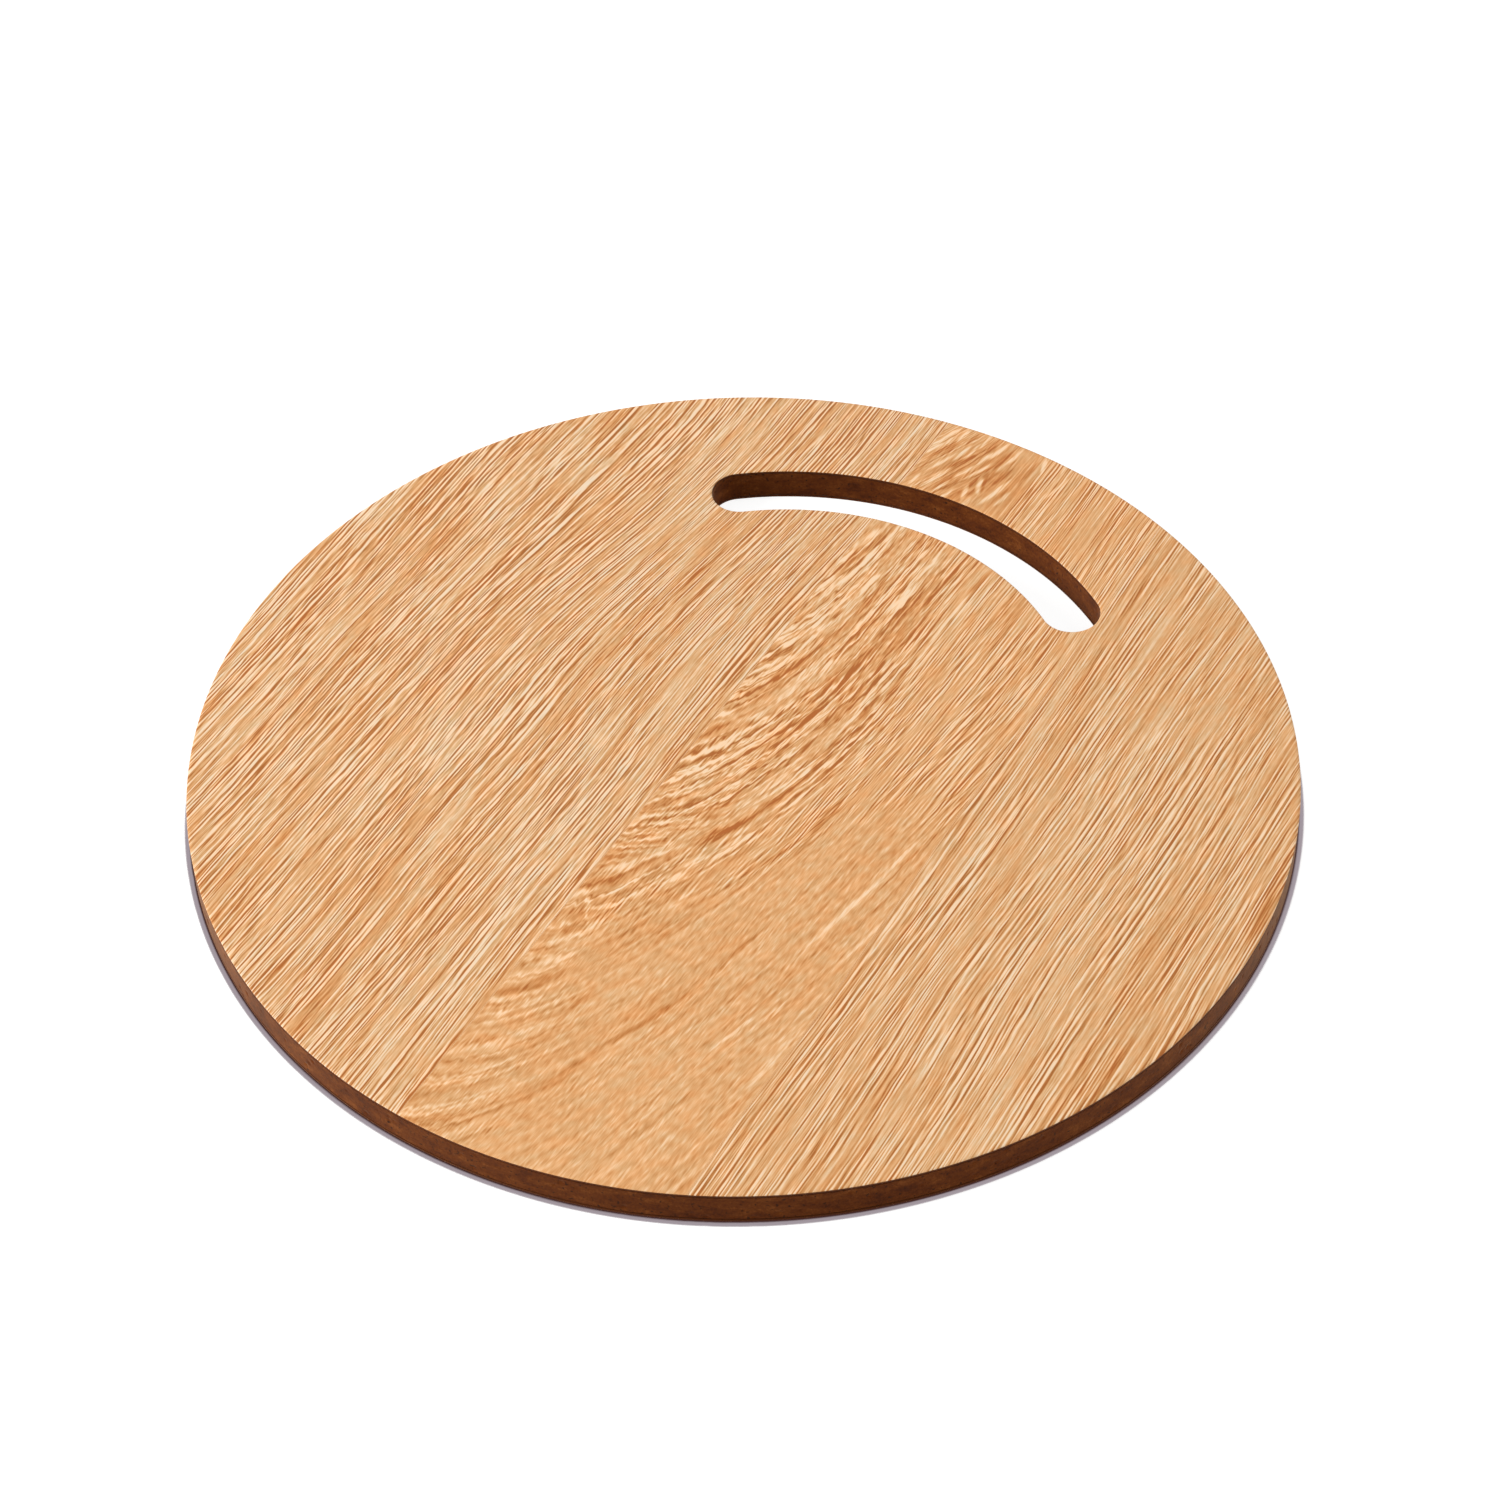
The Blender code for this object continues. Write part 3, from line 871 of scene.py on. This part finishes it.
    # long streaks start and end at different heights
    fibre_run = node(tree, "Math", {0: fibre_across, 1: 7.0, 2: y}, operation="MULTIPLY_ADD")
    fibre_long = node(tree, "CombineXYZ", {0: fibre_across, 1: fibre_run, 2: stave})
    ring_run = node(tree, "Math", {0: combed, 1: 7.0, 2: y}, operation="MULTIPLY_ADD")
    ring_long = node(tree, "CombineXYZ", {0: combed, 1: ring_run, 2: stave})

    # where streaks stand out and where they fade
    presences = []
    for number, (width, length) in enumerate(((2.4, 26.0), (6.0, 45.0))):
        at = node(
            tree, "VectorMath",
            {0: ring_field, 1: (1 / width, 1 / length, 1.0), 2: (0.4, 8.8, 31.0 + 4.3 * number)},
            operation="MULTIPLY_ADD",
        )
        patch = node(tree, "TexNoise", {"Vector": at, "Scale": 1.0, "Detail": 0.0})
        presences.append(node(
            tree, "MapRange",
            {"Value": patch, "From Min": 0.36, "From Max": 0.64, "To Min": 0.4, "To Max": 1.6},
        ))
    close, wide = presences

    # streaks: millimetres across and along, what they fade with, how strong they are in straight, figured and
    # calm grain, and whether they are thin lines, which come without any slow drift of tone between them.
    # The finest pores of real oak are thinner than any of these and are drawn at 0.3 mm so that they show.
    layers = (
        (ring_field, 3.20, 24.0, None, (0.24, 0.27, 0.08), False),
        (ring_long, 6.50, 60.0, None, (0.18, 0.11, 0.07), False),
        (ring_long, 13.0, 300.0, None, (0.16, 0.08, 0.07), False),
        (fibre_field, 0.30, 2.6, None, (0.20, 0.34, 0.24), False),
        (fibre_field, 0.50, 9.0, close, (0.52, 0.52, 0.21), True),
        (fibre_field, 0.85, 3.0, None, (0.00, 0.28, 0.30), False),
        (fibre_long, 0.40, 100.0, close, (0.90, 0.10, 0.00), True),
        (fibre_long, 0.66, 120.0, close, (0.70, 0.10, 0.04), True),
        (ring_field, 1.00, 9.0, wide, (0.40, 0.62, 0.14), True),
        (ring_long, 0.75, 70.0, close, (0.00, 0.54, 0.15), True),
        (ring_long, 1.20, 90.0, wide, (0.00, 0.44, 0.14), True),
    )
    # the tone up to these layers also sets the ink's cast, and the relief and gloss of the face
    last_broad = 2
    last_fine = 7
    tone = None
    for number, (field, width, length, presence, strengths, is_line) in enumerate(layers):
        at = node(
            tree, "VectorMath",
            {0: field, 1: (1 / width, 1 / length, 1.0), 2: (7.7 * number, 3.1 * number, 2.0 * number)},
            operation="MULTIPLY_ADD",
        )
        streak = node(tree, "TexNoise", {"Vector": at, "Scale": 1.0, "Detail": 0.0})
        if is_line:
            beside = node(tree, "VectorMath", {0: at, 1: (1.0, 0.0, 0.0)}, operation="ADD")
            beside = node(tree, "TexNoise", {"Vector": beside, "Scale": 1.0, "Detail": 0.0})
            centred = node(tree, "Math", {0: streak, 1: beside}, operation="SUBTRACT")
            spread = NOISE_SPREAD * math.sqrt(2)
        else:
            centred = node(tree, "Math", {0: streak, 1: 0.5}, operation="SUBTRACT")
            spread = NOISE_SPREAD
        strength = node(
            tree, "VectorMath", {0: kinds, 1: [s / spread for s in strengths]}, out="Value",
            operation="DOT_PRODUCT",
        )
        if presence:
            strength = node(tree, "Math", {0: strength, 1: presence}, operation="MULTIPLY")
        if tone is None:
            tone = node(tree, "Math", {0: centred, 1: strength}, operation="MULTIPLY")
        else:
            tone = node(tree, "Math", {0: centred, 1: strength, 2: tone}, operation="MULTIPLY_ADD")
        if number == last_broad:
            broad = tone
        if number == last_fine:
            fine = tone

    # rows of spring wood pores and bands of rows, evenly spaced but for a drift: millimetres from one to the
    # next outside and inside the ringed stave, the drift, and how strong they are in each kind of grain
    for apart, apart_in_rings, width, drift, strengths in (
        (0.78, 0.62, 1.7, 10.0, (0.64, 0.42, 0.05)),
        (1.15, 0.88, 2.7, 11.0, (0.84, 0.80, 0.09)),
        (1.65, 1.50, 4.0, 10.0, (0.92, 0.60, 0.12)),
        (3.40, 3.10, 9.0, 9.0, (0.00, 0.10, 0.17)),
    ):
        row_place = node(
            tree, "VectorMath",
            {0: ring_long, 1: (1 / width, 1 / 70.0, 1.0), 2: (0.0, 0.0, 50.0 + 3.1 * width)},
            operation="MULTIPLY_ADD",
        )
        row_shift = node(tree, "TexNoise", {"Vector": row_place, "Scale": 1.0, "Detail": 0.0})
        row_shift = node(tree, "Math", {0: row_shift, 1: drift}, operation="MULTIPLY")
        turns = node(
            tree, "MapRange",
            {"Value": in_rings, "To Min": math.tau / apart, "To Max": math.tau / apart_in_rings},
        )
        row_phase = node(tree, "Math", {0: combed, 1: turns, 2: row_shift}, operation="MULTIPLY_ADD")
        rows = node(tree, "Math", {0: row_phase}, operation="SINE")
        row_strength = node(
            tree, "VectorMath", {0: kinds, 1: strengths}, out="Value", operation="DOT_PRODUCT"
        )
        row_strength = node(tree, "Math", {0: row_strength, 1: wide}, operation="MULTIPLY")
        tone = node(tree, "Math", {0: rows, 1: row_strength, 2: tone}, operation="MULTIPLY_ADD")

    # the print's own streaks, each between two ends
    line_field = node(tree, "CombineXYZ", {0: combed, 1: y, 2: 1.0})
    drawn = node(tree, "Value")
    drawn.default_value = 0.0
    for x_low, y_low, x_high, y_high, half_width, strength in streaks:
        low, high = grain_at(x_low, y_low), grain_at(x_high, y_high)
        middle = (y_low + y_high) / 2
        drift = (high - low) / (y_high - y_low)
        level = (low + high) / 2
        x_middle = (x_low + x_high) / 2
        slope_x = grain_at(x_middle + 0.5, middle) - grain_at(x_middle - 0.5, middle)
        slope_y = grain_at(x_middle, middle + 0.5) - grain_at(x_middle, middle - 0.5) - drift
        reach = half_width * math.hypot(slope_x, slope_y)
        half_length = (y_high - y_low) / 2 + 2.0
        aside = node(
            tree, "VectorMath",
            {0: line_field, 1: (1 / reach, -drift / reach, (drift * middle - level) / reach)},
            out="Value", operation="DOT_PRODUCT",
        )
        ahead = node(
            tree, "VectorMath", {0: line_field, 1: (0.0, 1 / half_length, -middle / half_length)},
            out="Value", operation="DOT_PRODUCT",
        )
        ahead = node(tree, "Math", {0: ahead, 1: ahead}, operation="MULTIPLY")
        away = node(tree, "Math", {0: aside, 1: aside, 2: ahead}, operation="MULTIPLY_ADD")
        body = node(
            tree, "MapRange", {"Value": away, "From Min": 1.0, "From Max": 0.0},
            interpolation_type="SMOOTHSTEP", clamp=False,
        )
        drawn = node(tree, "Math", {0: body, 1: strength, 2: drawn}, operation="MULTIPLY_ADD")
    tone = node(tree, "Math", {0: tone, 1: drawn}, operation="ADD")

    along_ramp = node(tree, "Math", {0: tone, 1: 1 / 6.0, 2: 0.5}, operation="MULTIPLY_ADD")
    oak = node(tree, "ValToRGB", {"Fac": along_ramp})
    ramp = oak.node.color_ramp
    stops = (
        (0.03, "AD6424"), (0.112, "B97637"), (0.226, "C68649"), (0.388, "D79C62"), (0.5, "E1AA72"),
        (0.612, "EAB884"), (0.774, "F8CEA2"), (0.888, "FDDBB6"),
    )
    for number, (stop, code) in enumerate(stops):
        entry = ramp.elements[number] if number < 2 else ramp.elements.new(stop)
        entry.position = stop
        entry.color = colour(code)

    # the ink drifts between a redder and a greyer cast, is redder where it is broadly or boldly dark, and is
    # warmer over the whole ringed stave
    cast_place = node(
        tree, "VectorMath", {0: ring_field, 1: (1 / 3.5, 1 / 8.0, 1.0), 2: (2.2, 0.0, 77.0)},
        operation="MULTIPLY_ADD",
    )
    cast = node(tree, "TexNoise", {"Vector": cast_place, "Scale": 1.0, "Detail": 2.0, "Roughness": 0.75})
    cast = node(tree, "MapRange", {"Value": cast, "To Min": 0.08, "To Max": 0.92})
    cast = node(tree, "Math", {0: broad, 1: -0.15, 2: cast}, operation="MULTIPLY_ADD")
    dark = node(tree, "Math", {0: drawn, 1: 0.0}, operation="MINIMUM")
    cast = node(tree, "Math", {0: dark, 1: -0.08, 2: cast}, operation="MULTIPLY_ADD")
    tint = node(
        tree, "Mix", {0: cast, 6: (0.84, 1.02, 1.18, 1.0), 7: (1.16, 0.98, 0.82, 1.0)}, data_type="RGBA"
    )
    ink = node(tree, "Mix", {0: 1.0, 6: oak, 7: tint}, data_type="RGBA", blend_type="MULTIPLY")
    ink = node(
        tree, "Mix", {0: in_rings, 6: ink, 7: (1.03, 0.994, 0.95, 1.0)}, data_type="RGBA",
        blend_type="MULTIPLY",
    )

    emboss = node(tree, "Bump", {"Height": fine, "Strength": 0.25, "Distance": 0.02 * MM})
    satin = node(
        tree, "MapRange", {"Value": fine, "From Min": -1.0, "From Max": 1.0, "To Min": 0.5, "To Max": 0.4}
    )
    face = node(tree, "BsdfPrincipled", {
        "Base Color": ink,
        "Roughness": satin,
        "IOR": 1.5,
        "Specular IOR Level": 0.35,
        "Normal": emboss,
    })
    node(tree, "OutputMaterial", {"Surface": face})
    return made


def arris_wear(place):
    """The overlay is brittle: the router leaves its top corner slightly ragged."""
    ragged = 0.10 * MM * max(0.0, noise.noise(place / (2.5 * MM)))
    return ragged + 0.16 * MM * max(0.0, noise.noise(place / (0.9 * MM)) - 0.25)


sheets = {
    "decor_laminate_bottom": ("bottom_laminate", -1, (37.0, -21.0), ()),
    "decor_laminate_top": ("top_laminate", 1, (0.0, 0.0), PRINTED_STREAKS),
}
for name, (cad_node, outwards, shift, streaks) in sheets.items():
    low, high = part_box(cad_node)[0][2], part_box(cad_node)[1][2]
    glue_side, face_side = (low, high) if outwards > 0 else (high, low)
    sheet = bmesh.new()
    papers_profile = [
        (0.0, glue_side),
        (0.0, (glue_side + face_side) / 2),
        (0.0, face_side - outwards * edge_break),
    ]
    break_profile = [
        (0.3 * edge_break, face_side - outwards * 0.5 * edge_break),
        (edge_break, face_side),
    ]
    flats = []
    for cut in (rim_cut, slot_cut):
        first, last = cut_wall(sheet, cut, papers_profile, no_wear, 1)
        worn = []
        for inset, height in break_profile:
            ring = []
            for place, inwards in cut:
                at = place + inwards * (inset + arris_wear(Vector((place.x, place.y, height))))
                ring.append(sheet.verts.new((at.x, at.y, height)))
            worn.append(ring)
        inner = []
        for place, inwards in cut:
            at = place + inwards * face_margin
            inner.append(sheet.verts.new((at.x, at.y, face_side)))
        for lower, upper in zip([last] + worn, worn + [inner]):
            for at in range(len(lower)):
                after = (at + 1) % len(lower)
                strip = sheet.faces.new((lower[at], lower[after], upper[after], upper[at]))
                strip.smooth = True
        flats.append((first, inner))
    flat_face(sheet, flats[0][0], flats[1][0], 1)
    flat_face(sheet, flats[0][1], flats[1][1], 0)
    print_name = "oak_print_" + cad_node.split("_")[0]
    laminate = board_piece(name, sheet, [oak_print(print_name, shift, streaks), resin_papers])
    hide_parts(cad_node)
